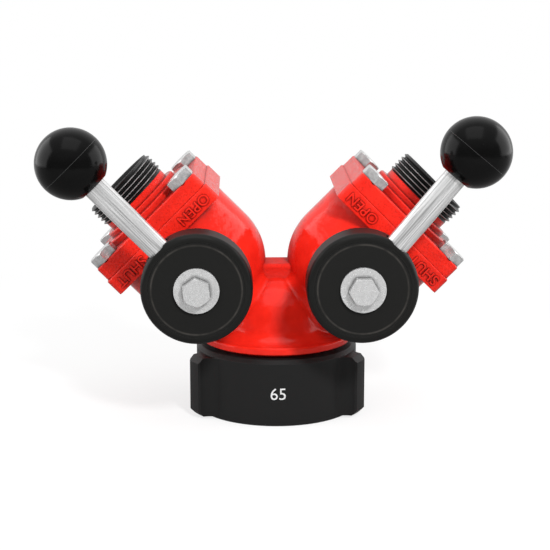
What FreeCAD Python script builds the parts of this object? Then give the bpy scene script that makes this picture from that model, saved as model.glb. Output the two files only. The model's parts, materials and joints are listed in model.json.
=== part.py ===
import FreeCAD, Part
import math
import os

from FreeCAD import Placement, Rotation, Vector

# Fire hose wye in millimetres: one swivel inlet feeding two outlets, each with its own ball valve.
# +Z is up along the inlet, the legs lean out to -X and +X, and the handles are on the -Y side.
# The origin is the centre of the inlet mouth.

# Fits
running_gap = 0.3
seat_gap = 0.3
shaft_gap = 0.06
loose_gap = 0.1

# Layout of the two legs
leg_lean = 45.0
chamber_gap = 13.86
leg_clear = 6.815
parting_past_ball = 7.9
body_flange_thickness = 11.4
adapter_plate_thickness = 9.6
outlet_length = 26.4

# Inlet swivel
inlet_thread_minor_r = 36.85
inlet_thread_depth = 20.0
inlet_mouth_chamfer = 1.2
swivel_wall = 11.2
swivel_height = 42.0
swivel_top_chamfer = 2.2
swivel_foot_chamfer = 1.0
lug_count = 3
lug_first_angle = 90.0
lug_reach = 9.5
lug_width = 12.5
lug_flank_r = 9.0
lug_foot_rise = 1.4
lug_top_drop = 2.6
lug_end_bevel = 3.2
lug_edge_bevel = 1.2

# Gasket and retaining wire between swivel and body
gasket_thickness = 4.8
gasket_set_back = 2.0
wire_r = 2.2
wire_drop = 8.0

# Body neck
inlet_step = 5.85
spigot_wall = 9.0
spigot_end_chamfer = 1.0
lip_gap = 2.8
lip_thickness = 4.2
lip_ledge = 2.46
lip_edge_r = 1.4
flare_r = 10.0
dome_wall = 5.0
dome_rise = 3.5
web_depth = 24.0
web_root = 5.0
web_edge_r = 2.5
crease_r = 3.0

# Valve chamber
outlet_wall = 6.275
ball_wall = 9.5
chamber_bore_gap = 1.0
chamber_wall = 12.5
leg_neck_wall = 8.0
leg_neck_blend_r = 8.0
seat_step = 3.0
seat_lip = 2.3
seat_wall = 4.76
seat_proud = 2.2

# Square flanges
flange_overhang = 1.2
adapter_step = 1.0
flange_corner_r = 4.5
flange_edge_bevel = 0.8
flange_bolt_edge = 9.7

# Outlet adapter and its hose nipple
hose_thread_r = 25.275
hose_thread_length = 13.9
hose_thread_chamfer = 1.6
nipple_wall = 2.5
nipple_grip = 16.0
thread_neck_relief = 1.275
collar_step = 2.925
collar_length = 3.6
shoulder_step = 6.8
shoulder_length = 4.2
ring_edge_bevel = 0.7
mouth_bevel = 2.2
o_ring_r = 1.5
o_ring_squeeze = 0.2
o_ring_set_back = 5.1

# Hexagon bolts
bolt_r = 4.9
bolt_head_flats = 16.0
bolt_head_height = 6.2
bolt_head_bevel_angle = 30.0
bolt_end_bevel = 0.6
hub_bolt_flats = 15.4
hub_bolt_length = 22.0
flange_bolt_length = 20.0

# Stem and its boss
boss_r = 22.0
boss_blend_r = 5.0
boss_height = 21.0
boss_edge_bevel = 1.2
stem_r = 9.0
stem_shoulder_step = 4.0
stem_shoulder_thickness = 4.4
stem_clear = 1.1
thrust_washer_thickness = 1.5
tang_width = 9.0
tang_depth = 7.5
stem_square = 12.0
stem_ring_r = 1.2
stem_ring_set_backs = (20.0, 12.0)

# Handle
hub_gap = 2.0
hub_depth = 22.0
hub_r = 33.2
hub_edge_r = 4.2
hub_back_bevel = 0.8
hub_face_recess = 0.3
washer_r = 13.5
washer_thickness = 2.5
rod_r = 7.1
rod_set_back = 9.5
rod_grip = 13.7
rod_root_bevel = 1.0
rod_spot_step = 1.7
rod_spot_depth = 1.4
knob_r = 21.15
knob_reach = 70.1
knob_flat_step = 2.4
knob_socket_past_centre = 2.0

# Handle travel, in degrees past the line of the leg
open_stop_angle = 5.4
shut_angle = 90.0
handle_rest_angle = {"left": 0.5, "right": 5.4}
hub_bolt_turn = {"left": 22.0, "right": 9.6}
stop_pin_r = 2.5
stop_circle_inset = 4.0
stop_pin_angle = 138.0
stop_pin_sink = 8.0
stop_slot_depth = 5.0
stop_slot_gap = 0.5

SIDES = {"left": -1.0, "right": 1.0}
ORIGIN = Vector(0, 0, 0)
X = Vector(1, 0, 0)
Y = Vector(0, 1, 0)
Z = Vector(0, 0, 1)
FULL_TURN = 360.0
QUARTER_TURN = 90.0
HEX_SIDES = 6
SKIN = 0.001

# Sizes that follow from the ones above: inlet
inlet_bore_r = inlet_thread_minor_r - inlet_step
spigot_r = inlet_bore_r + spigot_wall
swivel_bore_r = spigot_r + running_gap
swivel_r = swivel_bore_r + swivel_wall
lug_tip_r = swivel_r + lug_reach
gasket_r = swivel_bore_r - loose_gap
gasket_bore_r = inlet_bore_r + gasket_set_back
spigot_end = inlet_thread_depth + gasket_thickness + running_gap
wire_height = swivel_height - wire_drop
lip_foot = swivel_height + lip_gap
lip_top = lip_foot + lip_thickness
dome_r = inlet_bore_r + dome_wall
dome_height = lip_top + dome_rise
flare_rise = flare_r - dome_rise
flare_centre_r = math.sqrt((dome_r + flare_r) ** 2 - flare_rise ** 2)
lip_r = flare_centre_r + lip_ledge

# Ball, chamber and seats
waterway_r = hose_thread_r - outlet_wall
ball_r = waterway_r + ball_wall
chamber_r = ball_r + chamber_bore_gap
chamber_outer_r = chamber_r + chamber_wall
leg_neck_r = waterway_r + leg_neck_wall
leg_slope = math.tan(math.radians(leg_lean))
leg_underside = leg_neck_r / math.sin(math.radians(leg_lean))
apex_height = lip_top + leg_clear - lip_r / leg_slope + leg_underside
seat_r = chamber_r - seat_step
seat_back_offset = math.sqrt(ball_r ** 2 - waterway_r ** 2) + seat_wall
seat_front_offset = math.sqrt(ball_r ** 2 - (seat_r - seat_lip) ** 2)
seat_pocket_offset = seat_front_offset + seat_proud

# Stations along a leg from its apex
ball_station = (chamber_outer_r + chamber_gap / 2) / math.sin(math.radians(leg_lean))
inner_seat_back = ball_station - seat_back_offset
inner_pocket_end = ball_station - seat_pocket_offset
outer_seat_back = ball_station + seat_back_offset
adapter_spigot_end = ball_station + seat_pocket_offset
parting_station = ball_station + ball_r + parting_past_ball
body_flange_back = parting_station - body_flange_thickness
o_ring_station = parting_station - o_ring_set_back
adapter_face = parting_station + adapter_plate_thickness
thread_end = adapter_face + outlet_length
thread_start = thread_end - hose_thread_length
nipple_root = thread_start - nipple_grip

# Web, flanges and adapter
web_top = apex_height + ball_station * math.cos(math.radians(leg_lean))
web_width = chamber_gap + 2 * web_root
body_flange_side = 2 * (chamber_outer_r + flange_overhang)
adapter_side = body_flange_side - 2 * adapter_step
flange_bolt_spacing = body_flange_side - 2 * flange_bolt_edge
bolt_hole_r = bolt_r + loose_gap
adapter_spigot_r = chamber_r - loose_gap
nipple_shank_r = waterway_r + nipple_wall
thread_neck_r = hose_thread_r - thread_neck_relief
collar_r = hose_thread_r + collar_step
shoulder_r = collar_r + shoulder_step

# Depths from a ball's centre to the front
boss_face = chamber_outer_r + boss_height
stem_seat_depth = ball_r + stem_clear
stem_shoulder_r = stem_r + stem_shoulder_step
stem_bore_r = stem_r + shaft_gap
thrust_pocket_depth = stem_seat_depth + stem_shoulder_thickness + thrust_washer_thickness + running_gap
stem_ring_depths = [boss_face - set_back for set_back in stem_ring_set_backs]
hub_back = boss_face + hub_gap
hub_rim = hub_back + hub_depth
hub_face = hub_rim - hub_face_recess
washer_face = hub_face + washer_thickness
rod_plane = hub_rim - rod_set_back
rod_root = hub_r - rod_grip
rod_spot_r = rod_r + rod_spot_step
knob_centre = hub_r + knob_reach
knob_flat_r = rod_r + knob_flat_step
stop_circle_r = rod_root - stop_circle_inset
pin_hole_r = stop_pin_r + shaft_gap


def outline_face(start, *steps):
    """Closed face in the XZ plane. A step is an end point, or a mid point and an end point for an arc."""
    edges = []
    here = Vector(start[0], 0, start[1])
    for step in steps + (start,):
        if isinstance(step[0], tuple):
            middle, end = (Vector(point[0], 0, point[1]) for point in step)
            edges.append(Part.Arc(here, middle, end).toShape())
        else:
            end = Vector(step[0], 0, step[1])
            if end.isEqual(here, SKIN):
                continue
            edges.append(Part.LineSegment(here, end).toShape())
        here = end
    return Part.Face(Part.Wire(edges))


def turned(start, *steps):
    """Solid turned about Z from an outline of (radius, height) points."""
    return outline_face(start, *steps).revolve(ORIGIN, Z, FULL_TURN)


def drum(radius, low, high):
    """Cylinder on the Z axis between two heights."""
    return Part.makeCylinder(radius, high - low, Vector(0, 0, low))


def ring(outer_r, inner_r, low, high):
    """Plain ring on the Z axis between two heights."""
    return drum(outer_r, low, high).cut(drum(inner_r, low, high))


def arc_middle(centre, radius, first, last):
    """Point halfway along the short arc between two points of a circle."""
    reach = Vector(first[0] + last[0] - 2 * centre[0], 0, first[1] + last[1] - 2 * centre[1])
    reach.normalize()
    return (centre[0] + radius * reach.x, centre[1] + radius * reach.z)


def neck_to_ball(neck_r, sphere_r, blend_r, height, side):
    """Points where a blend leaves a neck and meets a sphere centred on the axis at a height.

    The neck runs away from the sphere upwards for side 1 and downwards for side -1.
    """
    centre_r = neck_r + blend_r
    rise = math.sqrt((sphere_r + blend_r) ** 2 - centre_r ** 2)
    share = sphere_r / (sphere_r + blend_r)
    centre = (centre_r, height + side * rise)
    on_neck = (neck_r, height + side * rise)
    on_sphere = (centre_r * share, height + side * rise * share)
    return on_neck, arc_middle(centre, blend_r, on_neck, on_sphere), on_sphere


def hex_corner_r(flats):
    """Radius to the corners of a hexagon of a given width across flats."""
    return flats / 2 / math.cos(math.pi / HEX_SIDES)


def hexagon(flats, low, high):
    """Hexagonal prism on the Z axis with two flats across X."""
    corner = Vector(0, hex_corner_r(flats), low)
    turns = [Rotation(Z, index * FULL_TURN / HEX_SIDES) for index in range(HEX_SIDES + 1)]
    points = [turn.multVec(corner) for turn in turns]
    return Part.Face(Part.makePolygon(points)).extrude(Vector(0, 0, high - low))


def hex_bolt(flats, length):
    """Bolt along Z with its head's seat at zero and its shank below."""
    bevel = math.tan(math.radians(bolt_head_bevel_angle))
    face_r = flats / 2
    corner_r = hex_corner_r(flats)
    crown = turned((0, 0), (corner_r, 0), (corner_r, bolt_head_height - (corner_r - face_r) * bevel),
                   (face_r, bolt_head_height), (0, bolt_head_height))
    shank = turned((0, 0), (bolt_r, 0), (bolt_r, bolt_end_bevel - length),
                   (bolt_r - bolt_end_bevel, -length), (0, -length))
    return hexagon(flats, 0, bolt_head_height).common(crown).fuse(shank).removeSplitter()


def rounded_square(side, low, high):
    """Square flange on the Z axis with rounded corners and bevelled edges on its upper face."""
    block = Part.makeBox(side, side, high - low, Vector(-side / 2, -side / 2, low))
    upright = [e for e in block.Edges if abs(e.Vertexes[0].Z - e.Vertexes[1].Z) > (high - low) / 2]
    block = block.makeFillet(flange_corner_r, upright)
    rim = [e for e in block.Edges if all(abs(v.Z - high) < SKIN for v in e.Vertexes)]
    return block.makeChamfer(flange_edge_bevel, rim)


def at_flange_corners(shape):
    """Copies of a shape made along Z at the four bolt positions of a square flange."""
    half = flange_bolt_spacing / 2
    return [shape.translated(Vector(x, y, 0)) for x in (-half, half) for y in (-half, half)]


def flange_holes(radius, low, high):
    """Four cylinders at the bolt positions of a square flange."""
    return at_flange_corners(drum(radius, low, high))


def to_front(shape):
    """Turn a shape made along Z so that its +Z points to the front, -Y."""
    return placed(shape, Placement(ORIGIN, Rotation(X, QUARTER_TURN)))


def in_leg(shape, side):
    """Place a shape made along Z on a leg's axis, with Z measured from the apex."""
    return placed(shape, Placement(Vector(0, 0, apex_height), Rotation(Y, SIDES[side] * leg_lean)))


def in_valve(shape, side, angle):
    """Place a shape made about a ball centre, its handle turned by an angle past the line of the leg."""
    turn = Rotation(Y, -SIDES[side] * angle)
    leg = Placement(Vector(0, 0, apex_height), Rotation(Y, SIDES[side] * leg_lean))
    return placed(shape, leg.multiply(Placement(Vector(0, 0, ball_station), turn)))


def placed(shape, placement):
    """Copy of a shape moved by a placement."""
    copy = shape.copy()
    copy.Placement = placement.multiply(copy.Placement)
    return copy


# Inlet


def swivel_lug():
    """One rocker lug on +X, with concave flanks and bevelled ends, running in to the swivel's middle."""
    low = lug_foot_rise
    high = swivel_height - lug_top_drop
    half = lug_width / 2
    flank_x = lug_tip_r - lug_edge_bevel
    root_x = math.sqrt((swivel_r + lug_flank_r) ** 2 - (half + lug_flank_r) ** 2)
    root = Vector(root_x, half + lug_flank_r, 0).multiply(swivel_r / (swivel_r + lug_flank_r))
    start = Vector(root_x, half, 0)
    centre = Vector(root_x, half + lug_flank_r, 0)
    middle = centre + (start + root - centre - centre).normalize().multiply(lug_flank_r)

    def mirrored(point):
        return Vector(point.x, -point.y, 0)

    tip = [start, Vector(flank_x, half, 0), Vector(lug_tip_r, half - lug_edge_bevel, 0)]
    tip += [mirrored(point) for point in reversed(tip)]
    edges = [Part.Arc(root, middle, start).toShape()]
    edges += [Part.LineSegment(first, second).toShape() for first, second in zip(tip, tip[1:])]
    edges.append(Part.Arc(mirrored(start), mirrored(middle), mirrored(root)).toShape())
    edges.append(Part.LineSegment(mirrored(root), ORIGIN).toShape())
    edges.append(Part.LineSegment(ORIGIN, root).toShape())
    block = Part.Face(Part.Wire(edges)).extrude(Vector(0, 0, high - low)).translated(Vector(0, 0, low))
    bevel_r = lug_tip_r - lug_end_bevel
    hull = turned((0, low), (bevel_r, low), (lug_tip_r, low + lug_end_bevel),
                  (lug_tip_r, high - lug_end_bevel), (bevel_r, high), (0, high))
    return block.common(hull)


def inlet_swivel():
    outer = turned((0, 0), (swivel_r - swivel_foot_chamfer, 0), (swivel_r, swivel_foot_chamfer),
                   (swivel_r, swivel_height - swivel_top_chamfer),
                   (swivel_r - swivel_top_chamfer, swivel_height), (0, swivel_height))
    for index in range(lug_count):
        lug = swivel_lug().rotated(ORIGIN, Z, lug_first_angle + index * FULL_TURN / lug_count)
        outer = outer.fuse(lug)
    mouth_r = inlet_thread_minor_r + inlet_mouth_chamfer
    bore = turned((0, 0), (mouth_r, 0), (inlet_thread_minor_r, inlet_mouth_chamfer),
                  (inlet_thread_minor_r, inlet_thread_depth), (swivel_bore_r, inlet_thread_depth),
                  (swivel_bore_r, swivel_height), (0, swivel_height))
    race = Part.makeTorus(spigot_r, wire_r + running_gap, Vector(0, 0, wire_height))
    return outer.cut(bore).cut(race).removeSplitter()


def inlet_gasket():
    return ring(gasket_r, gasket_bore_r, inlet_thread_depth, inlet_thread_depth + gasket_thickness)


def swivel_wire():
    return Part.makeTorus(spigot_r, wire_r, Vector(0, 0, wire_height))


# Body


def body_neck():
    """Spigot, lip, flare and domed middle of the casting."""
    flare_centre = (flare_centre_r, lip_top + flare_r)
    share = dome_r / (dome_r + flare_r)
    on_dome = (flare_centre_r * share, dome_height + flare_rise * share)
    on_lip = (flare_centre_r, lip_top)
    top = (0, dome_height + dome_r)
    flare_middle = arc_middle(flare_centre, flare_r, on_lip, on_dome)
    dome_middle = arc_middle((0, dome_height), dome_r, on_dome, top)
    lip_corner = (lip_r - lip_edge_r, lip_top - lip_edge_r)
    lip_middle = arc_middle(lip_corner, lip_edge_r, (lip_r, lip_corner[1]), (lip_corner[0], lip_top))
    return turned((0, spigot_end), (spigot_r - spigot_end_chamfer, spigot_end),
                  (spigot_r, spigot_end + spigot_end_chamfer), (spigot_r, lip_foot), (lip_r, lip_foot),
                  (lip_r, lip_corner[1]), (lip_middle, (lip_corner[0], lip_top)), on_lip,
                  (flare_middle, on_dome), (dome_middle, top))


def leg_shell():
    """Leg along Z from the apex: neck, spherical chamber and barrel up to the flange."""
    on_neck, middle, on_sphere = neck_to_ball(leg_neck_r, chamber_outer_r, leg_neck_blend_r, ball_station, -1)
    widest = (chamber_outer_r, ball_station)
    sphere_middle = arc_middle((0, ball_station), chamber_outer_r, on_sphere, widest)
    return turned((0, 0), (leg_neck_r, 0), on_neck, (middle, on_sphere), (sphere_middle, widest),
                  (chamber_outer_r, parting_station), (0, parting_station))


def stem_boss():
    """Boss along Z from a ball centre, blended into the chamber."""
    on_neck, middle, on_sphere = neck_to_ball(boss_r, chamber_outer_r, boss_blend_r, 0, 1)
    return turned((0, 0), (on_sphere[0], 0), on_sphere, (middle, on_neck),
                  (boss_r, boss_face - boss_edge_bevel),
                  (boss_r - boss_edge_bevel, boss_face), (0, boss_face))


def stop_pin_place(shape, angle):
    """Move a shape made along Z out to the stop circle, at an angle from the handle line."""
    return shape.translated(Vector(0, stop_circle_r, 0)).rotated(ORIGIN, Z, angle)


def pin_in_leg(shape, side):
    """Place a stop pin or its hole: the angle runs from the line of the leg to the inner side."""
    return in_valve(to_front(stop_pin_place(shape, SIDES[side] * stop_pin_angle)), side, 0)


def waterway():
    """Inlet bore with its rounded crown, where the two legs begin."""
    rim = (inlet_bore_r, apex_height)
    top = (0, apex_height + inlet_bore_r)
    crown = arc_middle((0, apex_height), inlet_bore_r, rim, top)
    return turned((0, spigot_end), (inlet_bore_r, spigot_end), rim, (crown, top))


def leg_bore():
    """Stepped bore along Z: waterway, inner seat pocket and ball chamber."""
    pocket_r = seat_r + loose_gap
    return turned((0, 0), (waterway_r, 0), (waterway_r, inner_seat_back), (pocket_r, inner_seat_back),
                  (pocket_r, inner_pocket_end), (chamber_r, inner_pocket_end), (chamber_r, parting_station),
                  (0, parting_station))


def stem_bore():
    """Stem passage along Z from a ball centre to the boss face."""
    pocket_r = stem_shoulder_r + running_gap
    return turned((0, 0), (pocket_r, 0), (pocket_r, thrust_pocket_depth),
                  (stem_bore_r, thrust_pocket_depth), (stem_bore_r, boss_face), (0, boss_face))


def meeting_edges(whole, first, second):
    """Edges of a fused shape where the skins of its two halves meet."""
    def on_both(edge):
        middle = Part.Vertex(edge.valueAt((edge.FirstParameter + edge.LastParameter) / 2))
        return all(middle.distToShape(skin)[0] < SKIN for skin in (first, second))
    return [edge for edge in whole.Edges if on_both(edge)]


def body_web():
    """Upright web between the two chambers, rounded along the front and back of its top."""
    corner = Vector(-web_width / 2, -web_depth / 2, apex_height)
    web = Part.makeBox(web_width, web_depth, web_top - apex_height, corner)
    top = [e for e in web.Edges if all(abs(v.Z - web_top) < SKIN for v in e.Vertexes)]
    return web.makeFillet(web_edge_r, [e for e in top if e.BoundBox.XLength > SKIN])


def wye_body():
    """Casting with blended creases, then its waterways, stem passages and tapped holes."""
    neck = body_neck()
    flange = rounded_square(body_flange_side, body_flange_back, parting_station)
    left, right = (in_leg(leg_shell(), side) for side in SIDES)
    casting = neck.fuse(left).fuse(right).removeSplitter()
    creases = meeting_edges(casting, neck.Shells[0], left.fuse(right).Shells[0])
    casting = casting.makeFillet(crease_r, creases).fuse(body_web())
    pin_hole = drum(pin_hole_r, boss_face - stop_pin_sink, boss_face)
    for side in SIDES:
        casting = casting.fuse(in_leg(flange, side))
        casting = casting.fuse(in_valve(to_front(stem_boss()), side, 0))
    casting = casting.cut(waterway())
    casting = casting.cut(Part.makeTorus(spigot_r, wire_r + shaft_gap, Vector(0, 0, wire_height)))
    for side in SIDES:
        casting = casting.cut(in_leg(leg_bore(), side))
        casting = casting.cut(in_valve(to_front(stem_bore()), side, 0))
        casting = casting.cut(pin_in_leg(pin_hole, side))
        for hole in flange_holes(bolt_hole_r, body_flange_back, parting_station):
            casting = casting.cut(in_leg(hole, side))
    return casting.removeSplitter()


# Outlet


def outlet_adapter():
    """Bolted plate along Z with its seat spigot below and its neck for the nipple above."""
    plate = rounded_square(adapter_side, parting_station, adapter_face)
    shoulder_end = adapter_face + shoulder_length
    collar_end = shoulder_end + collar_length
    nozzle = turned((0, adapter_spigot_end), (adapter_spigot_r, adapter_spigot_end),
                    (adapter_spigot_r, parting_station), (shoulder_r, parting_station),
                    (shoulder_r, shoulder_end - ring_edge_bevel),
                    (shoulder_r - ring_edge_bevel, shoulder_end),
                    (collar_r, shoulder_end), (collar_r, collar_end - ring_edge_bevel),
                    (collar_r - ring_edge_bevel, collar_end), (thread_neck_r, collar_end),
                    (thread_neck_r, thread_start), (0, thread_start))
    pocket_r = seat_r + loose_gap
    socket_r = nipple_shank_r + loose_gap
    socket_foot = nipple_root - loose_gap
    bore = turned((0, adapter_spigot_end), (pocket_r, adapter_spigot_end), (pocket_r, outer_seat_back),
                  (waterway_r, outer_seat_back), (waterway_r, socket_foot), (socket_r, socket_foot),
                  (socket_r, thread_start), (0, thread_start))
    groove_r = chamber_r - 2 * o_ring_r + o_ring_squeeze
    groove = ring(chamber_r, groove_r, o_ring_station - o_ring_r - loose_gap,
                  o_ring_station + o_ring_r + loose_gap)
    adapter = plate.fuse(nozzle).cut(bore).cut(groove)
    for hole in flange_holes(bolt_hole_r, parting_station, adapter_face):
        adapter = adapter.cut(hole)
    return adapter.removeSplitter()


def hose_nipple():
    """Nipple along Z: its shank sits in the adapter's neck and its outer end carries the hose thread."""
    return turned((waterway_r, nipple_root), (nipple_shank_r, nipple_root), (nipple_shank_r, thread_start),
                  (hose_thread_r, thread_start), (hose_thread_r, thread_end - hose_thread_chamfer),
                  (hose_thread_r - hose_thread_chamfer, thread_end), (waterway_r + mouth_bevel, thread_end),
                  (waterway_r, thread_end - mouth_bevel))


def flange_o_ring():
    centre_r = chamber_r - o_ring_r
    return Part.makeTorus(centre_r, o_ring_r - o_ring_squeeze, Vector(0, 0, o_ring_station))


def flange_bolts():
    bolt = hex_bolt(bolt_head_flats, flange_bolt_length).translated(Vector(0, 0, adapter_face))
    return Part.makeCompound(at_flange_corners(bolt))


# Valve


def seat(direction):
    """Seat ring along Z on one side of a ball at zero: -1 for the inner side, 1 for the outer."""
    low, high = sorted((direction * seat_front_offset, direction * seat_back_offset))
    return ring(seat_r, waterway_r, low, high).cut(Part.makeSphere(ball_r + seat_gap))


def valve_ball():
    """Ball with its waterway along Z and the stem's slot on the -Y side."""
    slot_width = tang_width + 2 * loose_gap
    floor = stem_seat_depth - tang_depth - running_gap
    slot = Part.makeBox(2 * ball_r, ball_r, slot_width, Vector(-ball_r, -floor - ball_r, -slot_width / 2))
    return Part.makeSphere(ball_r).cut(drum(waterway_r, -ball_r, ball_r)).cut(slot)


def valve_stem():
    """Stem along Z from a ball centre: tang, shoulder, ringed shaft, square end and tapped hole."""
    shoulder_end = stem_seat_depth + stem_shoulder_thickness
    square_end = hub_face - running_gap
    shaft = turned((0, stem_seat_depth), (stem_shoulder_r, stem_seat_depth), (stem_shoulder_r, shoulder_end),
                   (stem_r, shoulder_end), (stem_r, hub_back), (0, hub_back))
    tang = Part.makeBox(2 * stem_shoulder_r, tang_width, tang_depth,
                        Vector(-stem_shoulder_r, -tang_width / 2, stem_seat_depth - tang_depth))
    tang = tang.common(drum(stem_shoulder_r, stem_seat_depth - tang_depth, stem_seat_depth))
    square = Part.makeBox(stem_square, stem_square, square_end - hub_back,
                          Vector(-stem_square / 2, -stem_square / 2, hub_back))
    stem = shaft.fuse([tang, square])
    groove_r = stem_r - 2 * stem_ring_r + loose_gap
    for depth in stem_ring_depths:
        stem = stem.cut(ring(stem_r, groove_r, depth - stem_ring_r, depth + stem_ring_r))
    hole_depth = hub_bolt_length - washer_thickness + stem_ring_r
    return stem.cut(drum(bolt_hole_r, hub_face - hole_depth, square_end)).removeSplitter()


def thrust_washer():
    low = stem_seat_depth + stem_shoulder_thickness
    return ring(stem_shoulder_r, stem_r + loose_gap, low, low + thrust_washer_thickness)


def stem_o_rings():
    centre_r = stem_r - stem_ring_r + loose_gap / 2
    return Part.makeCompound([Part.makeTorus(centre_r, stem_ring_r - loose_gap / 2, Vector(0, 0, d))
                              for d in stem_ring_depths])


def stop_pin():
    return drum(stop_pin_r, boss_face - stop_pin_sink, hub_back + stop_slot_depth - running_gap)


# Handle


def stop_slot(side):
    """Curved slot in the hub's back that the stop pin runs in, opposite the rod."""
    half = stop_pin_r + stop_slot_gap
    low = hub_back
    high = hub_back + stop_slot_depth
    first = SIDES[side] * (stop_pin_angle - open_stop_angle)
    travel = SIDES[side] * (open_stop_angle + shut_angle)
    ends = [stop_pin_place(drum(half, low, high), angle) for angle in (first, first + travel)]
    section = Part.makePolygon([Vector(0, r, z) for r, z in (
        (stop_circle_r - half, low), (stop_circle_r + half, low), (stop_circle_r + half, high),
        (stop_circle_r - half, high), (stop_circle_r - half, low))])
    return Part.Face(section).rotated(ORIGIN, Z, first).revolve(ORIGIN, Z, travel).fuse(ends)


def handle_hub(side):
    """Round hub along Z with a square hole, a stop slot behind and the rod's socket in its rim."""
    edge_centre = (hub_r - hub_edge_r, hub_rim - hub_edge_r)
    edge_start = (hub_r, edge_centre[1])
    edge_end = (edge_centre[0], hub_rim)
    edge_middle = arc_middle(edge_centre, hub_edge_r, edge_start, edge_end)
    recess_r = edge_centre[0] - hub_face_recess
    hub = turned((0, hub_back), (hub_r - hub_back_bevel, hub_back), (hub_r, hub_back + hub_back_bevel),
                 edge_start, (edge_middle, edge_end), (recess_r, hub_rim),
                 (recess_r - hub_face_recess, hub_face), (0, hub_face))
    hole_side = stem_square + 2 * loose_gap
    square = Part.makeBox(hole_side, hole_side, hub_depth, Vector(-hole_side / 2, -hole_side / 2, hub_back))
    socket = Part.makeCylinder(rod_r + shaft_gap, hub_r, Vector(0, rod_root, rod_plane), Y)
    spot = Part.makeCylinder(rod_spot_r, hub_r, Vector(0, hub_r - rod_spot_depth, rod_plane), Y)
    return hub.cut([square, stop_slot(side), socket, spot]).removeSplitter()


def hub_washer():
    return ring(washer_r, bolt_hole_r, hub_face, washer_face)


def hub_bolt(side):
    bolt = hex_bolt(hub_bolt_flats, hub_bolt_length)
    return bolt.rotated(ORIGIN, Z, hub_bolt_turn[side]).translated(Vector(0, 0, washer_face))


def handle_rod():
    """Rod along Z in the rod plane, from its socket in the hub to its socket in the knob."""
    end = knob_centre + knob_socket_past_centre
    rod = turned((0, rod_root), (rod_r - rod_root_bevel, rod_root), (rod_r, rod_root + rod_root_bevel),
                 (rod_r, end), (0, end))
    return rod.translated(Vector(0, -rod_plane, 0))


def ball_knob():
    """Ball knob with a flat and a socket facing the hub."""
    flat = math.sqrt(knob_r ** 2 - knob_flat_r ** 2)
    ball = Part.makeSphere(knob_r).common(drum(knob_r, -flat, knob_r))
    socket = drum(rod_r + shaft_gap, -knob_r, knob_socket_past_centre)
    return ball.cut(socket).translated(Vector(0, -rod_plane, knob_centre))


def write(node, shape):
    """Export one node, after checking that each of its solids is sound."""
    if not shape.isValid() or any(solid.Volume <= 0 for solid in shape.Solids):
        raise ValueError("unsound solid in " + node)
    solids = shape.Solids
    (solids[0] if len(solids) == 1 else Part.makeCompound(solids)).exportStep("parts/" + node + ".step")


def main():
    os.makedirs("parts", exist_ok=True)
    write("wye_body", wye_body())
    write("inlet_swivel", inlet_swivel())
    write("inlet_gasket", inlet_gasket())
    write("swivel_wire", swivel_wire())
    for side in SIDES:
        rest = handle_rest_angle[side]
        fixed = {
            "outlet_adapter": outlet_adapter(),
            "hose_nipple": hose_nipple(),
            "flange_bolts": flange_bolts(),
            "flange_o_ring": flange_o_ring(),
            "inner_seat": seat(-1).translated(Vector(0, 0, ball_station)),
            "outer_seat": seat(1).translated(Vector(0, 0, ball_station)),
        }
        turning = {
            "valve_ball": valve_ball(),
            "valve_stem": to_front(valve_stem()),
            "thrust_washer": to_front(thrust_washer()),
            "stem_o_rings": to_front(stem_o_rings()),
            "handle_hub": to_front(handle_hub(side)),
            "hub_washer": to_front(hub_washer()),
            "hub_bolt": to_front(hub_bolt(side)),
            "handle_rod": handle_rod(),
            "ball_knob": ball_knob(),
        }
        for name, shape in fixed.items():
            write(side + "_" + name, in_leg(shape, side))
        for name, shape in turning.items():
            write(side + "_" + name, in_valve(shape, side, rest))
        write(side + "_stop_pin", pin_in_leg(stop_pin(), side))


main()
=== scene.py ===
import json
import math

import bmesh
import bpy
from mathutils import Matrix, Vector


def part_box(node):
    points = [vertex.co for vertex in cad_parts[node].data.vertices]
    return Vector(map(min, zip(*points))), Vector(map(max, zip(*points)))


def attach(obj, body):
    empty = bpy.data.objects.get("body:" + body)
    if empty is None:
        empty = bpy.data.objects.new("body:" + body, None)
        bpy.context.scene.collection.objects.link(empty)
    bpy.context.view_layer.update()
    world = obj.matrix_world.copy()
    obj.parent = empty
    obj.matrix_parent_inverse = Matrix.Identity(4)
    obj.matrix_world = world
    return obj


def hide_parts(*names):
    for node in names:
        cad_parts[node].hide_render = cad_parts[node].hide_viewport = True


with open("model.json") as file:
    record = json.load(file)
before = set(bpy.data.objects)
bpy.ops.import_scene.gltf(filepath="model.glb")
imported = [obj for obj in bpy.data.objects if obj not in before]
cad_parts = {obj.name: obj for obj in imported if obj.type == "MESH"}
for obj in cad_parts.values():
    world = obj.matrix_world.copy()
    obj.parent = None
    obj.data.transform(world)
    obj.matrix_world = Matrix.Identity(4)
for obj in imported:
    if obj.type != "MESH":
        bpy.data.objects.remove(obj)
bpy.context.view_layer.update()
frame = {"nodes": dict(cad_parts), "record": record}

# Looks of a fire hose wye, in metres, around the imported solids.
# +Z is up along the inlet, the legs lean out to -X and +X, and the handles are on the -Y side.

MM = 0.001
TURN = 2 * math.pi
SIDES = ("left", "right")
X_AXIS = Vector((1, 0, 0))
Y_AXIS = Vector((0, 1, 0))
Z_AXIS = Vector((0, 0, 1))
WHITE = (1, 1, 1, 1)

mounts = {m["name"]: m for m in frame["record"]["mounts"]}

# Camera, as the photograph was taken
image_size_px = 550
focal_length_px = 1558.1
sensor_width_mm = 36.0
camera_azimuth = math.radians(-1.34)
camera_elevation = math.radians(12.22)
camera_distance = 1.0
camera_target = Vector((-0.89, 0, 85.26)) * MM

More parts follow.
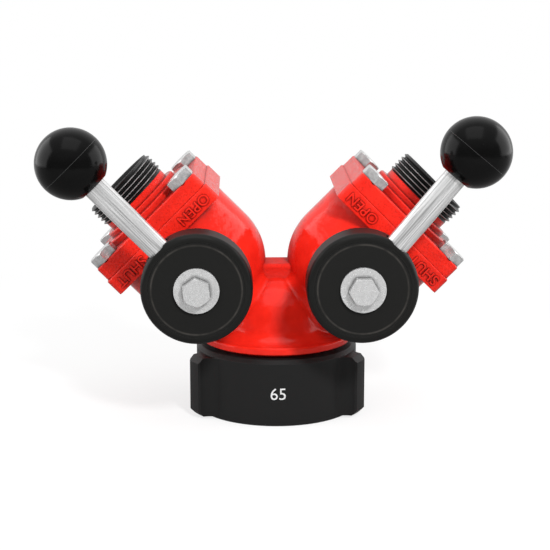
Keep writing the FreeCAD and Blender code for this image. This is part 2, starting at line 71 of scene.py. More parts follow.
# Hose thread of the outlets, at stations along a leg
hose_thread_from = 127.697 * MM
hose_thread_to = 141.59 * MM
hose_thread_r = 25.27 * MM
hose_thread_pitch = 2.822 * MM
hose_thread_depth = 1.7 * MM
hose_neck_r = 24.0 * MM
hose_end_r = 23.675 * MM
outlet_bore_r = 19.0 * MM
outlet_mouth_bevel = 2.2 * MM
nipple_root = 111.697 * MM
nipple_shank_r = 21.5 * MM

# Inside thread of the inlet, where its mount is
inlet_mount = mounts["inlet_thread"]
inlet_thread_from = inlet_mount["pos_m"][2]
inlet_thread_to = inlet_thread_from + inlet_mount["dims"]["length_mm"] * MM
inlet_thread_r = inlet_mount["dims"]["r_mm"] * MM
inlet_thread_pitch = 3.387 * MM
inlet_thread_depth = 2.0 * MM
bore_slack = 0.05 * MM

# Threads: shares of the pitch that are flat at crest and root, and steps in an outlet thread's turn
crest_share = 0.1
root_share = 0.1
thread_steps = 144

# Raised words on the front of the body's flanges
flange_front = -43.2 * MM
word_station = 99.9 * MM
word_offset = 27.0 * MM
word_height = 6.6 * MM
word_raise = 0.8 * MM
word_bevel = 0.15 * MM

# Size number on the front of the swivel
swivel_r = 51.5 * MM
number_height = 7.6 * MM
number_level = 20.5 * MM
number_proud = 0.04 * MM

# Share of the type size that a capital letter is high, and points on a letter's curve
capital_share = 0.72
letter_steps = 6

# Mould seam round the ball knobs, lighter than the knob: partly its own matte tone, partly a painted
# highlight
seam_width = 0.3 * MM
seam_proud = 0.02 * MM
seam_steps = 128

# Edges that stay sharp, and vertices that meet
sharp_angle = math.radians(28)
weld_gap = 0.001 * MM

# Where the paint turns from smooth to sandy: X plus Z on the legs, X and Z by themselves on the web
sand_edge = (172 * MM, 184 * MM)
web_side = (9 * MM, 13 * MM)
web_foot = (88 * MM, 92 * MM)

# Paint: its colours and gloss, its round edges, and the unevenness of the casting under it
paint_reds = ((0.80, 0.019, 0.010), (0.90, 0.025, 0.013))
paint_gloss = (0.04, 0.12)
flange_dullness = 0.08
web_dullness = 0.5
paint_edge = 0.8 * MM
cast_grain = 11 * MM
cast_spread = (0.35, 0.65)
cast_depth = 0.6 * MM
peel_grain = 3.2 * MM
peel_depth = 0.3 * MM
sand_grain = 1.1 * MM
sand_depth = 0.5 * MM
sand_strength = (0.08, 0.7)

# Dark places in the paint: pits in the sand, and shade painted into the wide folds of the casting and the
# narrow joints on the flanges
pit_edge = (0.34, 0.48)
pit_tone = 0.75
fold_shade_reach = 18 * MM
fold_shade_open = (0.45, 0.9)
fold_shade_tone = 0.6
joint_shade_reach = 1.5 * MM
joint_shade_open = (0.5, 0.95)
joint_shade_tone = 0.35

# Wear with painted highlights: how far it reaches in from thread crests, edges and bolt edges, and the turn
# that makes an edge
crest_rub_and_highlight = 0.35 * MM
edge_rub_and_highlight = 0.4 * MM
bolt_rub_and_highlight = 0.7 * MM
edge_cosine = (0.9, 0.99)

# Rubbed black with painted highlights: how much lighter it is than the rest, and how patchy
rub_and_highlight_gain = 3
rub_and_highlight_spread = (0.4, 0.6)
patch_spread = (0.3, 0.6)
crest_least_rub_and_highlight = 0.3
ring_least_highlight = 0.2

# Black nipples: tones of the thread and of its crests, rubbed and painted with highlights, roughness from
# the bore to the thread
thread_tones = (0.007, 0.35)
thread_roughness = (0.85, 0.28)
thread_grain = 0.4 * MM
thread_patch = 6 * MM

# Black hubs: the painted highlight ring on the face, the duller rim, and the marks of turning
hub_ring_r = 26.8 * MM
hub_ring_width = 0.8 * MM
hub_rim_r = (31.5 * MM, 33 * MM)
hub_rim_dullness = 0.3
hub_colour = (0.0108, 0.0108, 0.0102)
hub_ring_highlight = (0.05, 0.046, 0.042)
hub_roughness = (0.14, 0.22)
hub_mark = 0.5 * MM
hub_mark_depth = 0.02 * MM
hub_patch = 9 * MM

# Ball knobs: tones, gloss and a faint unevenness
knob_tones = (0.0015, 0.003)
knob_roughness = (0.15, 0.22)
knob_patch = 7 * MM
knob_grain = 0.7 * MM
knob_depth = 0.01 * MM

# Bright rods: streaks drawn out along the rod
rod_tones = (0.55, 1.0)
rod_roughness = (0.12, 0.26)
rod_streak = 0.9 * MM
rod_streak_spread = (0.4, 0.58)
rod_streak_depth = 0.06 * MM
rod_stretch = (1, 1, 0.02)

# Skin of bolts, washers and other steel, and the shade painted into its creases
steel_grain = 0.35 * MM
steel_mottle = 0.7
steel_shade_reach = 2.5 * MM
steel_shade_open = (0.45, 0.95)
steel_shade_tone = 0.3

# Depths of the finest grain, patches and gloss in plastic, and how far other roughness wanders
fine_depth = 0.03 * MM
anodised_depth = 0.05 * MM
polymer_patch = 5 * MM
polymer_gloss = 0.9
roughness_swing = 0.2

# Range that most of a noise lies in
noise_spread = (0.3, 0.7)

# Table: its size, its tone as a source of light, and where its shadow fades out to the camera
floor_half = 6.0
floor_drop = 0.2 * MM
floor_tone = 0.3
floor_roughness = 0.8
floor_fade = (0.1, 0.45)
floor_glow = (0.72, 1.0)

# White wall behind, as reflections see it on the table and past it, and a room that is lighter above
floor_back = (0.1, 0.5)
wall_edge = (0.3, 0.6)
wall_share = 0.7
roof_edge = (0.2, 0.9)
roof_light = (0.2, 0.6)

# Lamps: places and targets, width and height, power in watts, and whether reflections show them
LAMPS = {
    "key_softbox": dict(place=(0.31, -0.93, 0.75), target=(0, 0, 0.09), size=(0.14, 0.14), power=10.5,
                        reflected=False),
    "fill_softbox": dict(place=(-0.7, -1.0, 0.35), target=(0, 0, 0.09), size=(0.9, 0.9), power=4.5,
                         reflected=False),
    "top_softbox": dict(place=(-0.05, -0.3, 1.1), target=(0, 0, 0.09), size=(0.8, 0.8), power=1.7,
                        reflected=True),
    "left_softbox": dict(place=(-0.85, 0.15, 0.4), target=(0, 0, 0.1), size=(1.0, 0.7), power=3.6,
                         reflected=True),
    "right_softbox": dict(place=(0.85, 0.15, 0.4), target=(0, 0, 0.1), size=(1.0, 0.7), power=3.8,
                          reflected=True),
}

# Frames on the legs and handles


def middle_of(node):
    """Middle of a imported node's box."""
    low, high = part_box(node)
    return (low + high) / 2


def frame_on(origin, along):
    """Frame with Z along a direction that is square to Y, and Y to the back."""
    axes = Matrix((Y_AXIS.cross(along), Y_AXIS, along)).transposed()
    return Matrix.Translation(origin) @ axes.to_4x4()


def leg_matrix(side):
    """Frame on a leg's axis: Z outwards along the leg from the inlet's axis, Y to the back."""
    mount = mounts[side + "_outlet_thread"]
    axis = Vector(mount["axis"]).normalized()
    point = Vector(mount["pos_m"])
    return frame_on(point - axis * (point.x / axis.x), axis)


def handle_matrix(side):
    """Frame on a handle's rod: origin on the hub's axis, Z along the rod, Y to the back."""
    hub = middle_of(side + "_hub_washer")
    rod = middle_of(side + "_handle_rod")
    along = rod - hub
    along.y = 0
    return frame_on(Vector((hub.x, rod.y, hub.z)), along.normalized())


# Nodes of materials


def set_sockets(node, sockets):
    """Put plain values on a node's sockets, with an underscore for each space in their names."""
    for socket, value in sockets.items():
        node.inputs[socket.replace("_", " ")].default_value = value


def material(name, **sockets):
    """Principled material with plain values on its sockets."""
    made = bpy.data.materials.new(name)
    made.use_nodes = True
    set_sockets(made.node_tree.nodes["Principled BSDF"], sockets)
    return made


def add(made, kind, **sockets):
    """Node in a material, with plain values on its sockets."""
    node = made.node_tree.nodes.new(kind)
    set_sockets(node, sockets)
    return node


def join(made, source, target):
    """Link from an output to an input."""
    made.node_tree.links.new(source, target)


def feed(made, socket, source):
    """Link from an output to a socket of the material's shader."""
    join(made, source, made.node_tree.nodes["Principled BSDF"].inputs[socket])


def reckon(made, operation, *sources):
    """Result of a sum on one or two factors."""
    node = add(made, "ShaderNodeMath")
    node.operation = operation
    for index, source in enumerate(sources):
        join(made, source, node.inputs[index])
    return node.outputs["Value"]


def plus(made, first, second):
    return reckon(made, "ADD", first, second)


def times(made, first, second):
    return reckon(made, "MULTIPLY", first, second)


def largest(made, first, second):
    return reckon(made, "MAXIMUM", first, second)


def ramp(made, factor, low, high, first, last):
    """Map a factor from its low and high values to a first and last output value."""
    node = add(made, "ShaderNodeMapRange")
    for index, value in enumerate((low, high, first, last), start=1):
        node.inputs[index].default_value = value
    join(made, factor, node.inputs["Value"])
    return node.outputs["Result"]


def flip(made, factor):
    """One less a factor."""
    return ramp(made, factor, 0, 1, 1, 0)


def surface_place(made, matrix=None, scale=(1, 1, 1)):
    """Coordinates on the object in metres, in the frame of a matrix and stretched along its axes."""
    coordinates = add(made, "ShaderNodeTexCoord")
    mapping = add(made, "ShaderNodeMapping")
    mapping.vector_type = "TEXTURE"
    if matrix is not None:
        mapping.inputs["Location"].default_value = matrix.translation
        mapping.inputs["Rotation"].default_value = matrix.to_euler()
    mapping.inputs["Scale"].default_value = [1 / s for s in scale]
    join(made, coordinates.outputs["Object"], mapping.inputs["Vector"])
    return mapping.outputs["Vector"]


def parts_of(made, place):
    """The X, Y and Z outputs of a place."""
    split = add(made, "ShaderNodeSeparateXYZ")
    join(made, place, split.inputs["Vector"])
    return split.outputs


def length_of(made, place):
    """Length of a vector."""
    node = add(made, "ShaderNodeVectorMath")
    node.operation = "LENGTH"
    join(made, place, node.inputs[0])
    return node.outputs["Value"]


def axis_distance(made, place, first, second):
    """Distance from an axis, from the two coordinates across it."""
    parts = parts_of(made, place)
    flat = add(made, "ShaderNodeCombineXYZ")
    join(made, parts[first], flat.inputs["X"])
    join(made, parts[second], flat.inputs["Y"])
    return length_of(made, flat.outputs["Vector"])


def noise(made, place, grain, detail=3.0, roughness=0.55):
    """Noise with grains of about the given size."""
    node = add(made, "ShaderNodeTexNoise", Scale=1 / grain, Detail=detail, Roughness=roughness)
    join(made, place, node.inputs["Vector"])
    return node.outputs["Fac"]


def grey(tone):
    return (tone, tone, tone)


def blend(made, factor, first, last):
    """Colour between two colours."""
    node = add(made, "ShaderNodeMix")
    node.data_type = "RGBA"
    node.inputs["A"].default_value = (*first, 1)
    node.inputs["B"].default_value = (*last, 1)
    join(made, factor, node.inputs["Factor"])
    return node.outputs["Result"]


def shade(made, factor, dark, colour):
    """Colour that falls to a share of itself where a factor is zero."""
    node = add(made, "ShaderNodeMix")
    node.data_type = "RGBA"
    node.blend_type = "MULTIPLY"
    node.inputs["Factor"].default_value = 1.0
    join(made, colour, node.inputs["A"])
    join(made, blend(made, factor, grey(dark), grey(1)), node.inputs["B"])
    return node.outputs["Result"]


def bump(made, height, depth, strength=1.0, under=None, share=None):
    """Normal with a bump of a given depth, over another normal and by a share where those are given."""
    node = add(made, "ShaderNodeBump", Strength=strength, Distance=depth)
    join(made, height, node.inputs["Height"])
    if under is not None:
        join(made, under, node.inputs["Normal"])
    if share is not None:
        join(made, share, node.inputs["Strength"])
    return node.outputs["Normal"]


def creases(made, reach, low, high):
    """Factor from one in the open to zero in creases narrower than a reach, for shade painted into a colour.
    """
    node = add(made, "ShaderNodeAmbientOcclusion", Distance=reach)
    return ramp(made, node.outputs["AO"], low, high, 0, 1)


def rounded_edges(made, radius):
    """Normal that rounds sharp edges over a radius."""
    return add(made, "ShaderNodeBevel", Radius=radius).outputs["Normal"]


def worn_and_highlit_edges(made, reach):
    """Factor of one along sharp edges and zero on open faces, and the normal rounded over those edges; the
    factor lightens edges as wear and painted highlight.
    """
    rounded = rounded_edges(made, reach)
    flat = add(made, "ShaderNodeNewGeometry")
    turn = add(made, "ShaderNodeVectorMath")
    turn.operation = "DOT_PRODUCT"
    join(made, rounded, turn.inputs[0])
    join(made, flat.outputs["Normal"], turn.inputs[1])
    return ramp(made, turn.outputs["Value"], *edge_cosine, 1, 0), rounded


def uneven(made, factor, roughness):
    """Roughness that wanders to both sides with a noise."""
    least = roughness * (1 - roughness_swing)
    most = roughness * (1 + roughness_swing)
    return ramp(made, factor, *noise_spread, least, most)


# Materials


def casting_shares(made, place):
    """Factors of one on the flanges and on the web, zero on the rest of the casting."""
    parts = parts_of(made, place)
    outwards = reckon(made, "ABSOLUTE", parts["X"])
    flange = ramp(made, plus(made, outwards, parts["Z"]), *sand_edge, 0, 1)
    beside = ramp(made, outwards, *web_side, 1, 0)
    above = ramp(made, parts["Z"], *web_foot, 0, 1)
    return flange, times(made, beside, above)


def red_paint():
    """Thick glossy paint on a sand casting, sandier on the flanges and dull on the web between the legs,
    with shade painted into its folds and joints.
    """
    made = material("red_paint", Specular_IOR_Level=0.26)
    place = surface_place(made)
    flange, web = casting_shares(made, place)
    sandy = largest(made, flange, web)
    cast = noise(made, place, cast_grain, detail=2.0)
    sand = noise(made, place, sand_grain, detail=4.0, roughness=0.65)
    peel = noise(made, place, peel_grain, detail=2.0)

    tone = blend(made, ramp(made, cast, *cast_spread, 0, 1), *paint_reds)
    pits = times(made, sandy, ramp(made, sand, *pit_edge, 1, 0))
    tone = shade(made, flip(made, pits), pit_tone, tone)
    # Painted shade: the paint darkens where the casting's wide folds are occluded.
    tone = shade(made, creases(made, fold_shade_reach, *fold_shade_open), fold_shade_tone, tone)
    # Painted shade: darker still in narrow creases on the flanges, such as joints and the feet of the
    # letters.
    joint_shade = times(made, flange, flip(made, creases(made, joint_shade_reach, *joint_shade_open)))
    feed(made, "Base Color", shade(made, flip(made, joint_shade), joint_shade_tone, tone))

    gloss = ramp(made, peel, *noise_spread, *paint_gloss)
    dull = plus(made, ramp(made, flange, 0, 1, 0, flange_dullness), ramp(made, web, 0, 1, 0, web_dullness))
    feed(made, "Roughness", plus(made, gloss, dull))

    waves = bump(made, cast, cast_depth, strength=0.4, under=rounded_edges(made, paint_edge))
    skin = bump(made, peel, peel_depth, strength=0.4, under=waves)
    sand_share = ramp(made, sandy, 0, 1, *sand_strength)
    feed(made, "Normal", bump(made, sand, sand_depth, under=skin, share=sand_share))
    return made


def black_anodised(name, tone, roughness, grain):
    """Hard-anodised aluminium: almost black with a fine even grain, rubbed greyer along its edges, which is
    partly wear and partly a painted edge highlight.
    """
    made = material(name, Specular_IOR_Level=0.2)
    fine = noise(made, surface_place(made), grain, detail=4.0)
    edges, rounded = worn_and_highlit_edges(made, edge_rub_and_highlight)
    # Edges painted lighter: partly rubbed wear, partly a painted highlight.
    light_mark = times(made, edges, ramp(made, fine, *rub_and_highlight_spread, 0, 1))
    feed(made, "Base Color", blend(made, light_mark, grey(tone), grey(tone * rub_and_highlight_gain)))
    feed(made, "Roughness", uneven(made, fine, roughness))
    feed(made, "Normal", bump(made, fine, anodised_depth, strength=0.5, under=rounded))
    return made


def worn_and_highlit_thread(side):
    """Black nipple whose thread crests are rubbed to a dull grey that is also a painted highlight, dull in
    the bore.
    """
    made = material(side + "_black_thread", Specular_IOR_Level=0.4)
    place = surface_place(made, leg_matrix(side))
    out = axis_distance(made, place, "X", "Y")
    fine = noise(made, place, thread_grain, detail=4.0)
    patches = noise(made, place, thread_patch, detail=2.0)
    # Crests painted lighter: partly rubbed wear, partly a painted highlight on the crests.
    crest = ramp(made, out, hose_thread_r - crest_rub_and_highlight, hose_thread_r, 0, 1)
    light_mark = times(made, crest, ramp(made, patches, *patch_spread, crest_least_rub_and_highlight, 1))
    feed(made, "Base Color", blend(made, light_mark, *map(grey, thread_tones)))
    bevel_middle = outlet_bore_r + outlet_mouth_bevel / 2
    feed(made, "Roughness", ramp(made, out, bevel_middle, hose_end_r, *thread_roughness))
    feed(made, "Normal", bump(made, fine, fine_depth, strength=0.3))
    return made


def turned_black(side):
    """Black hub with faint turning marks round its axis, a painted highlight ring on its face where a step
    would glint, and a duller rim.
    """
    made = material(side + "_black_hub", Specular_IOR_Level=0.15)
    place = surface_place(made, handle_matrix(side))
    out = axis_distance(made, place, "X", "Z")
    turning = add(made, "ShaderNodeTexNoise", Scale=1 / hub_mark, Detail=2.0)
    turning.noise_dimensions = "1D"
    join(made, out, turning.inputs["W"])
    marks = turning.outputs["Fac"]
    patches = noise(made, place, hub_patch, detail=2.0)
    # Painted highlight: a patchy lighter ring on the face, in place of the glint of a step.
    inside = ramp(made, out, hub_ring_r - hub_ring_width, hub_ring_r, 0, 1)
    outside = ramp(made, out, hub_ring_r, hub_ring_r + hub_ring_width, 1, 0)
    ring = times(made, inside, outside)
    light_mark = times(made, ring, ramp(made, patches, *patch_spread, ring_least_highlight, 1))
    feed(made, "Base Color", blend(made, light_mark, hub_colour, hub_ring_highlight))
    rim = ramp(made, out, *hub_rim_r, 0, hub_rim_dullness)
    feed(made, "Roughness", plus(made, ramp(made, marks, *noise_spread, *hub_roughness), rim))
    feed(made, "Normal", bump(made, marks, hub_mark_depth, strength=0.15))
    return made


def gloss_knob():
    """Moulded black knob with a polished skin and a faint unevenness."""
    made = material("black_knob", Specular_IOR_Level=0.16)
    place = surface_place(made)
    patches = noise(made, place, knob_patch)
    fine = noise(made, place, knob_grain, detail=2.0)
    feed(made, "Base Color", blend(made, patches, *map(grey, knob_tones)))
    feed(made, "Roughness", ramp(made, patches, *noise_spread, *knob_roughness))
    feed(made, "Normal", bump(made, fine, knob_depth, strength=0.25))
    return made


def drawn_steel(side):
    """Satin drawn bar with streaks along its length."""
    made = material(side + "_bright_rod", Metallic=0.65)
    place = surface_place(made, handle_matrix(side), rod_stretch)
    streaks = noise(made, place, rod_streak, detail=5.0, roughness=0.65)
    bright = ramp(made, streaks, *rod_streak_spread, 0, 1)
    feed(made, "Base Color", blend(made, bright, *map(grey, rod_tones)))
    feed(made, "Roughness", ramp(made, streaks, *noise_spread, *rod_roughness))
    feed(made, "Normal", bump(made, streaks, rod_streak_depth, strength=0.3))
    return made


def plated_steel(name, dark, light, roughness, grain, metallic=1.0, light_mark=edge_rub_and_highlight):
    """Plated or plain steel with a mottled skin, bright along its edges from wear and painted highlights,
    and with shade painted into its creases.
    """
    made = material(name, Metallic=metallic)
    place = surface_place(made)
    mottle = noise(made, place, grain, detail=4.0, roughness=0.6)
    fine = noise(made, place, steel_grain, detail=2.0)
    edges, rounded = worn_and_highlit_edges(made, light_mark)
    mottled = times(made, ramp(made, mottle, *noise_spread, 0, steel_mottle), flip(made, edges))
    # Edges painted lighter: partly rubbed wear, partly a painted highlight.
    tone = blend(made, plus(made, mottled, edges), grey(dark), grey(light))
    # Painted shade: steel darkens in creases, such as under bolt heads and round washers.
    open_places = creases(made, steel_shade_reach, *steel_shade_open)
    feed(made, "Base Color", shade(made, open_places, steel_shade_tone, tone))
    feed(made, "Roughness", uneven(made, mottle, roughness))
    feed(made, "Normal", bump(made, fine, fine_depth, strength=0.3, under=rounded))
    return made


def plain_polymer(name, dark, light, roughness, grain):
    """Rubber, plastic or print with a fine matte grain."""
    made = material(name, Specular_IOR_Level=0.4)
    place = surface_place(made)
    patches = noise(made, place, polymer_patch, detail=2.0)
    fine = noise(made, place, grain)
    feed(made, "Base Color", blend(made, patches, grey(dark), grey(light)))
    feed(made, "Roughness", ramp(made, fine, *noise_spread, roughness * polymer_gloss, roughness))
    feed(made, "Normal", bump(made, fine, fine_depth, strength=0.4))
    return made


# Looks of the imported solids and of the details, by their names without a side

LOOKS = {
    "wye_body": red_paint(),
    "inlet_swivel": black_anodised("black_anodised", tone=0.014, roughness=0.42, grain=0.5 * MM),
    "inlet_gasket": plain_polymer("black_rubber", dark=0.012, light=0.02, roughness=0.8, grain=0.4 * MM),
    "swivel_wire": plated_steel("stainless", dark=0.5, light=0.62, roughness=0.35, grain=2 * MM),
    "flange_bolts": plated_steel("dull_steel", dark=0.55, light=1.0, roughness=0.15, grain=2.5 * MM,
                                 metallic=0.75, light_mark=bolt_rub_and_highlight),
    "hub_bolt": plated_steel("zinc_steel", dark=0.68, light=0.95, roughness=0.25, grain=1.8 * MM,
                             metallic=0.65),
    "valve_ball": plated_steel("chrome_ball", dark=0.72, light=0.82, roughness=0.1, grain=6 * MM),
    "inner_seat": plain_polymer("white_plastic", dark=0.78, light=0.86, roughness=0.5, grain=0.5 * MM),
    "ball_knob": gloss_knob(),
    # Seam tone: lighter than the knob, partly a painted highlight on the fine ridge.
    "knob_seam": plain_polymer("knob_seam", dark=0.02, light=0.03, roughness=0.5, grain=0.3 * MM),
    "size_number": plain_polymer("white_print", dark=0.72, light=0.8, roughness=0.6, grain=0.3 * MM),
}
SHARED_LOOKS = {
    "outlet_adapter": "wye_body", "hose_nipple": "inlet_swivel", "hub_washer": "hub_bolt",
    "outer_seat": "inner_seat", "thrust_washer": "inner_seat", "valve_stem": "swivel_wire",
    "stop_pin": "swivel_wire", "flange_o_ring": "inlet_gasket", "stem_o_rings": "inlet_gasket",
}
SIDE_LOOKS = {"handle_hub": turned_black, "handle_rod": drawn_steel}


def dress_nodes():
    """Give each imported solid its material."""
    for name, node in frame["nodes"].items():
        side, _, rest = name.partition("_")
        kind = rest if side in SIDES else name
        kind = SHARED_LOOKS.get(kind, kind)
        made = SIDE_LOOKS[kind](side) if kind in SIDE_LOOKS else LOOKS[kind]
        node.data.materials.clear()
        node.data.materials.append(made)


# Meshes


def piece(name, mesh, made, body, slot, *replaced):
    """Object from a mesh, riding on a body and standing for the nodes that it replaces."""
    made_object = bpy.data.objects.new(name, mesh)
    bpy.context.scene.collection.objects.link(made_object)
    mesh.materials.append(made)
    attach(made_object, body)
    if replaced:
        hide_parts(*replaced)


def mesh_from(work, name, smooth_angle=None):
    """Mesh from bmesh work, smooth but for edges sharper than an angle."""
    mesh = bpy.data.meshes.new(name)
    work.normal_update()
    for face in work.faces:
        face.smooth = True
    if smooth_angle is not None:
        for edge in work.edges:
            edge.smooth = len(edge.link_faces) == 2 and edge.calc_face_angle() < smooth_angle
    work.to_mesh(mesh)
    work.free()
    return mesh


def weld(work):
    """Join vertices that meet, drop loose ones and turn the faces outwards."""
    bmesh.ops.remove_doubles(work, verts=work.verts, dist=weld_gap)
    bmesh.ops.delete(work, geom=[v for v in work.verts if not v.link_faces], context="VERTS")
    bmesh.ops.recalc_face_normals(work, faces=work.faces)


def round_point(radius, angle, height):
    """Point at a radius and angle about Z."""
    return Vector((radius * math.cos(angle), radius * math.sin(angle), height))


def even_angles(steps):
    return [TURN * i / steps for i in range(steps)]


def lathe(work, outline, matrix, steps, closed=False):
    """Faces from (radius, height) points turned about Z, the last joined to the first if closed."""
    rings = []
    for radius, height in outline:
        rings.append([work.verts.new(matrix @ round_point(radius, a, height)) for a in even_angles(steps)])
    ends = rings[1:] + rings[:1] if closed else rings[1:]
    for low, high in zip(rings, ends):
        for i in range(steps):
            j = (i + 1) % steps
            work.faces.new((low[i], low[j], high[j], high[i]))


def thread_skin(work, matrix, angles, low, high, low_r, high_r, base_r, height, pitch):
    """Helical skin on a row of angles between two stations, running into a circle at each end.

    Height is how far the crests stand out from the base radius, or in from it if negative.
    """
    crest_half = crest_share / 2
    root_half = root_share / 2
    root = 0.5
    bends = (0, crest_half, root - root_half, root, root + root_half, 1 - crest_half)

    def radius(angle, station):
        phase = ((station - low) / pitch - angle / TURN) % 1
        from_crest = min(phase, 1 - phase) - crest_half
        share = 1 - from_crest / (root - root_half - crest_half)
        made = base_r + height * min(max(share, 0), 1)
        made = min(max(made, low_r - (station - low)), low_r + station - low)
        return min(max(made, high_r - (high - station)), high_r + high - station)

    def row(turn, part):
        stations = [min(max(low + pitch * (turn + part + a / TURN), low), high) for a in angles]
        points = [round_point(radius(a, z), a, z) for a, z in zip(angles, stations)]
        return [work.verts.new(matrix @ point) for point in points], stations

    turns = range(-1, math.ceil((high - low) / pitch) + 2)
    rows = [row(turn, part) for turn in turns for part in bends]
    for k in range(len(rows) - 1 - len(bends)):
        for i in range(len(angles)):
            step, j = divmod(i + 1, len(angles))
            next_k = k + step * len(bends)
            corners = ((k, i), (next_k, j), (next_k + 1, j), (k + 1, i))
            stations = [rows[r][1][c] for r, c in corners]
            if max(stations) > low and min(stations) < high:
                work.faces.new([rows[r][0][c] for r, c in corners])


# Details that the solids leave out


def outlet_thread(side):
    """Nipple with the male hose thread, its end face, mouth bevel and bore, and the shank in the adapter."""
    name = side + "_threaded_nipple"
    work = bmesh.new()
    matrix = leg_matrix(side)
    thread_skin(work, matrix, even_angles(thread_steps), low=hose_thread_from, high=hose_thread_to,
                low_r=hose_neck_r, high_r=hose_end_r, base_r=hose_thread_r - hose_thread_depth,
                height=hose_thread_depth, pitch=hose_thread_pitch)
    outline = (
        (hose_end_r, hose_thread_to),
        (outlet_bore_r + outlet_mouth_bevel, hose_thread_to),
        (outlet_bore_r, hose_thread_to - outlet_mouth_bevel),
        (outlet_bore_r, nipple_root),
        (nipple_shank_r, nipple_root),
        (nipple_shank_r, hose_thread_from),
        (hose_neck_r, hose_thread_from),
    )
    lathe(work, outline, matrix, thread_steps)
    weld(work)
    mesh = mesh_from(work, name, sharp_angle)
    piece(name, mesh, worn_and_highlit_thread(side), "body", "black_anodised", side + "_hose_nipple")


def threaded_swivel():
    """Swivel with a helical thread in place of its plain bore."""
    work = bmesh.new()
    work.from_mesh(frame["nodes"]["inlet_swivel"].data)
    bmesh.ops.remove_doubles(work, verts=work.verts, dist=weld_gap)

    def on_bore(vertex):
        return abs(math.hypot(vertex.co.x, vertex.co.y) - inlet_thread_r) < bore_slack

    plain = [f for f in work.faces if all(on_bore(v) for v in f.verts)]
    bmesh.ops.delete(work, geom=plain, context="FACES")
    thread_middle = (inlet_thread_from + inlet_thread_to) / 2
    open_ends = {v for e in work.edges if e.is_boundary for v in e.verts}
    angles = sorted(math.atan2(v.co.y, v.co.x) % TURN for v in open_ends if v.co.z < thread_middle)
    thread_skin(work, Matrix.Identity(4), angles, low=inlet_thread_from, high=inlet_thread_to,
                low_r=inlet_thread_r, high_r=inlet_thread_r, base_r=inlet_thread_r + inlet_thread_depth,
                height=-inlet_thread_depth, pitch=inlet_thread_pitch)
    weld(work)
    mesh = mesh_from(work, "threaded_swivel", sharp_angle)
    piece("threaded_swivel", mesh, LOOKS["inlet_swivel"], "swivel", "black_anodised", "inlet_swivel")


def lettering(text, height, extrude, bevel):
    """Mesh of a word, centred, facing +Z, its middle plane on Z zero."""
    data = bpy.data.curves.new(text, "FONT")
    data.body = text
    data.size = height / capital_share
    data.align_x = "CENTER"
    data.align_y = "CENTER"
    data.extrude = extrude
    data.bevel_depth = bevel
    data.resolution_u = letter_steps
    holder = bpy.data.objects.new(text, data)
    bpy.context.scene.collection.objects.link(holder)
    bpy.context.view_layer.update()
    mesh = bpy.data.meshes.new_from_object(holder.evaluated_get(bpy.context.evaluated_depsgraph_get()))
    bpy.data.objects.remove(holder)
    bpy.data.curves.remove(data)
    return mesh


def flange_word(side, text, offset):
    """Raised word on the front of a body flange, its letters' tops towards the body."""
    mesh = lettering(text, word_height, word_raise - word_bevel, word_bevel)
    leg = leg_matrix(side)
    across = leg.to_3x3() @ X_AXIS
    along = leg.to_3x3() @ Z_AXIS
    place = leg @ Vector((offset, flange_front, word_station))
    axes = Matrix((-across, -along, -Y_AXIS)).transposed()
    mesh.transform(Matrix.Translation(place) @ axes.to_4x4())
    piece(f"{side}_word_{text.lower()}", mesh, LOOKS["wye_body"], "body", "red_paint")


def size_number():
    """White number wrapped on the front of the swivel."""
    mesh = lettering("65", number_height, number_proud, 0)
    for vertex in mesh.vertices:
        angle = vertex.co.x / swivel_r
        radius = swivel_r + vertex.co.z
        level = number_level + vertex.co.y
        vertex.co = Vector((radius * math.sin(angle), -radius * math.cos(angle), level))
    piece("size_number", mesh, LOOKS["size_number"], "swivel", "white_plastic")


def knob_seam(side):
    """Fine raised line where the two halves of a knob's mould met, lighter than the knob partly as a painted
    highlight.
    """
    name = side + "_knob_seam"
    work = bmesh.new()
    low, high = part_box(side + "_ball_knob")
    matrix = Matrix.Translation((low + high) / 2) @ handle_matrix(side).to_3x3().to_4x4()
    knob_r = (high.y - low.y) / 2
    half = seam_width / 2
    inner = knob_r - seam_width
    outline = ((inner, -half), (knob_r, -half), (knob_r + seam_proud, 0), (knob_r, half), (inner, half))
    lathe(work, outline, matrix, seam_steps, closed=True)
    weld(work)
    piece(name, mesh_from(work, name), LOOKS["knob_seam"], side + "_valve", "black_knob")


# Camera, table, light and background


def camera():
    """Camera at the photograph's angle, distance and focal length."""
    level = math.cos(camera_elevation)
    direction = Vector((math.sin(camera_azimuth) * level, -math.cos(camera_azimuth) * level,
                        math.sin(camera_elevation)))
    data = bpy.data.cameras.new("camera")
    data.sensor_fit = "HORIZONTAL"
    data.sensor_width = sensor_width_mm
    data.lens = focal_length_px / image_size_px * sensor_width_mm
    made = bpy.data.objects.new("camera", data)
    made.location = camera_target + camera_distance * direction
    made.rotation_euler = (-direction).to_track_quat("-Z", "Y").to_euler()
    bpy.context.scene.collection.objects.link(made)
    bpy.context.scene.camera = made


def mixed(made, factor, first, second):
    """Mix of two shaders."""
    node = add(made, "ShaderNodeMixShader")
    for index, source in enumerate((factor, first, second)):
        join(made, source, node.inputs[index])
    return node.outputs[0]


def shown_as_white(made, behind):
    """Factor of one on rays from the camera, and of the share behind on reflected and refracted rays."""
    path = add(made, "ShaderNodeLightPath")
    sent = largest(made, path.outputs["Is Glossy Ray"], path.outputs["Is Transmission Ray"])
    return largest(made, path.outputs["Is Camera Ray"], times(made, sent, behind))


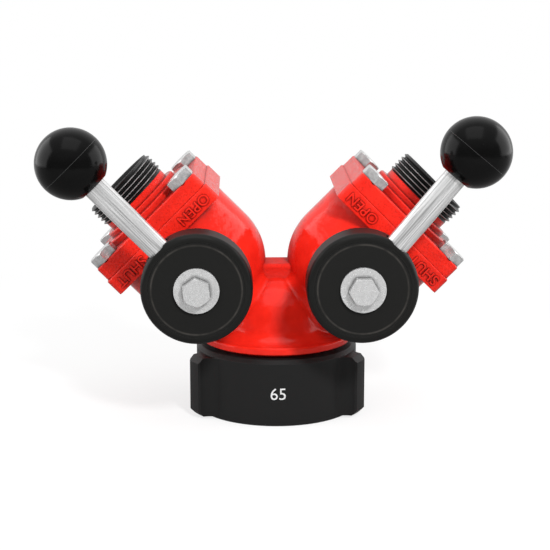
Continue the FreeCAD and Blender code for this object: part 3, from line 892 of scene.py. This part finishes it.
def floor():
    """Table: white with a soft shadow to the camera and in reflections behind, dimmer as light."""
    work = bmesh.new()
    bmesh.ops.create_grid(work, x_segments=1, y_segments=1, size=floor_half)
    made = bpy.data.objects.new("floor", mesh_from(work, "floor"))
    made.location.z = -floor_drop
    look = material("floor", Base_Color=(*grey(floor_tone), 1), Roughness=floor_roughness)
    place = surface_place(look)
    white = add(look, "ShaderNodeBsdfDiffuse", Color=WHITE)
    glow = add(look, "ShaderNodeEmission", Color=WHITE, Strength=1.0)
    away = ramp(look, length_of(look, place), *floor_fade, *floor_glow)
    shown = mixed(look, away, white.outputs[0], glow.outputs[0])
    behind = ramp(look, parts_of(look, place)["Y"], *floor_back, 0, wall_share)
    plain = look.node_tree.nodes["Principled BSDF"].outputs[0]
    surface = mixed(look, shown_as_white(look, behind), plain, shown)
    join(look, surface, look.node_tree.nodes["Material Output"].inputs[0])
    made.data.materials.append(look)
    bpy.context.scene.collection.objects.link(made)


def background():
    """White to the camera; to the object a white wall behind and a room lighter above than in front."""
    world = bpy.data.worlds.new("studio")
    bpy.context.scene.world = world
    world.use_nodes = True
    parts = parts_of(world, add(world, "ShaderNodeTexCoord").outputs["Generated"])
    room = world.node_tree.nodes["Background"]
    room.inputs["Color"].default_value = WHITE
    join(world, ramp(world, parts["Z"], *roof_edge, *roof_light), room.inputs["Strength"])
    white = add(world, "ShaderNodeBackground", Color=WHITE, Strength=1.0)
    behind = ramp(world, parts["Y"], *wall_edge, 0, wall_share)
    surface = mixed(world, shown_as_white(world, behind), room.outputs[0], white.outputs[0])
    join(world, surface, world.node_tree.nodes["World Output"].inputs[0])


def softbox(name, place, target, size, power, reflected):
    """Rectangular lamp facing a target, seen in reflections or not."""
    data = bpy.data.lights.new(name, "AREA")
    data.shape = "RECTANGLE"
    data.size, data.size_y = size
    data.energy = power
    made = bpy.data.objects.new(name, data)
    made.location = place
    made.rotation_euler = (Vector(target) - Vector(place)).to_track_quat("-Z", "Y").to_euler()
    made.visible_glossy = reflected
    bpy.context.scene.collection.objects.link(made)


# The scene

dress_nodes()
threaded_swivel()
size_number()
for side in SIDES:
    outlet_thread(side)
    upper = 1 if side == "left" else -1
    flange_word(side, "OPEN", upper * word_offset)
    flange_word(side, "SHUT", -upper * word_offset)
    knob_seam(side)
camera()
floor()
background()
for name, lamp in LAMPS.items():
    softbox(name, **lamp)
bpy.context.scene.view_settings.view_transform = "Standard"
